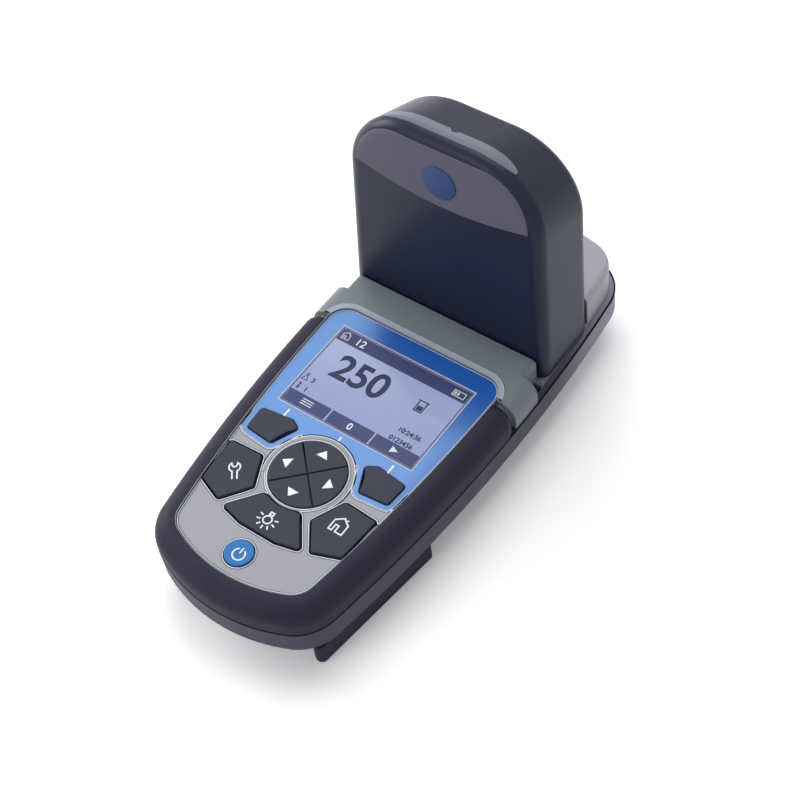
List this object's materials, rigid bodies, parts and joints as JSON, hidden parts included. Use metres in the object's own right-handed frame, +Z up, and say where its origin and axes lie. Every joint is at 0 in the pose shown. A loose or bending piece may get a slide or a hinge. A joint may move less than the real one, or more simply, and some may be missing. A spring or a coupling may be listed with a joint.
{
  "type": "portable water quality analyzer",
  "caption": "Hand-held water test instrument with keypad and display, a sample cell bore and a lift-off light-shield cap.",
  "frame": {"origin": "centre of the footprint, on the surface the instrument stands on", "axes": "+X to the user's right, +Y away from the user towards the cap, +Z up"},
  "size_m": [0.0974, 0.2154, 0.1279],
  "materials": {
    "lower_shell": "moulded, fine grain",
    "upper_shell": "moulded, fine grain",
    "bumper_rubber": "matt",
    "seal_rubber": "matt",
    "screw_steel": "plain",
    "label_film": "printed film",
    "panel_film": "printed film",
    "display_glass": "clear window over a lit display",
    "module_case": "plain",
    "board": "circuit board",
    "dome_metal": "plain",
    "holder_black": "matt black",
    "optic_glass": "clear",
    "cell_wrap": "sleeved",
    "contact_metal": "plated",
    "key_rubber": "matt, printed",
    "power_rubber": "matt, printed",
    "cap_plastic": "smooth with a grained field",
    "badge_blue": "smooth"
  },
  "bodies": {
    "casing": {"lower_casing": "lower_shell", "upper_casing": "upper_shell", "bumper": "bumper_rubber", "casing_gasket": "seal_rubber", "casing_screws": "screw_steel", "keypad_label": "label_film", "display_panel": "panel_film", "lcd_glass": "display_glass", "lcd_module": "module_case", "main_board": "board", "dome_switches": "dome_metal", "cell_holder": "holder_black", "optic_windows": "optic_glass", "led_board": "board", "detector_board": "board", "battery_cells": "cell_wrap", "battery_contacts": "contact_metal", "battery_door": "lower_shell", "door_gasket": "seal_rubber", "door_screws": "screw_steel", "foot_rails": "bumper_rubber", "rear_feet": "bumper_rubber"},
    "cap": {"cap_shell": "cap_plastic", "cap_badge": "badge_blue"},
    "soft_key_left_body": {"soft_key_left": "key_rubber"},
    "soft_key_right_body": {"soft_key_right": "key_rubber"},
    "settings_key_body": {"settings_key": "key_rubber"},
    "home_key_body": {"home_key": "key_rubber"},
    "light_key_body": {"light_key": "key_rubber"},
    "power_key_body": {"power_key": "power_rubber"},
    "up_key_body": {"up_key": "key_rubber"},
    "left_key_body": {"left_key": "key_rubber"},
    "down_key_body": {"down_key": "key_rubber"},
    "right_key_body": {"right_key": "key_rubber"}
  },
  "joints": [
    {"name": "cap_lift", "type": "slide", "parent": "casing", "child": "cap", "axis": [0, 0, 1], "range_m": [0, 0.12]},
    {"name": "soft_key_left_press", "type": "slide", "parent": "casing", "child": "soft_key_left_body", "axis": [0, 0, -1], "range_m": [0, 0.0009], "stiffness_N_per_m": 500, "springref_m": -0.0004},
    {"name": "soft_key_right_press", "type": "slide", "parent": "casing", "child": "soft_key_right_body", "axis": [0, 0, -1], "range_m": [0, 0.0009], "stiffness_N_per_m": 500, "springref_m": -0.0004},
    {"name": "settings_key_press", "type": "slide", "parent": "casing", "child": "settings_key_body", "axis": [0, 0, -1], "range_m": [0, 0.0009], "stiffness_N_per_m": 500, "springref_m": -0.0004},
    {"name": "home_key_press", "type": "slide", "parent": "casing", "child": "home_key_body", "axis": [0, 0, -1], "range_m": [0, 0.0009], "stiffness_N_per_m": 500, "springref_m": -0.0004},
    {"name": "light_key_press", "type": "slide", "parent": "casing", "child": "light_key_body", "axis": [0, 0, -1], "range_m": [0, 0.0009], "stiffness_N_per_m": 500, "springref_m": -0.0004},
    {"name": "power_key_press", "type": "slide", "parent": "casing", "child": "power_key_body", "axis": [0, 0, -1], "range_m": [0, 0.0009], "stiffness_N_per_m": 500, "springref_m": -0.0004},
    {"name": "up_key_press", "type": "slide", "parent": "casing", "child": "up_key_body", "axis": [0, 0, -1], "range_m": [0, 0.0009], "stiffness_N_per_m": 500, "springref_m": -0.0004},
    {"name": "left_key_press", "type": "slide", "parent": "casing", "child": "left_key_body", "axis": [0, 0, -1], "range_m": [0, 0.0009], "stiffness_N_per_m": 500, "springref_m": -0.0004},
    {"name": "down_key_press", "type": "slide", "parent": "casing", "child": "down_key_body", "axis": [0, 0, -1], "range_m": [0, 0.0009], "stiffness_N_per_m": 500, "springref_m": -0.0004},
    {"name": "right_key_press", "type": "slide", "parent": "casing", "child": "right_key_body", "axis": [0, 0, -1], "range_m": [0, 0.0009], "stiffness_N_per_m": 500, "springref_m": -0.0004}
  ]
}
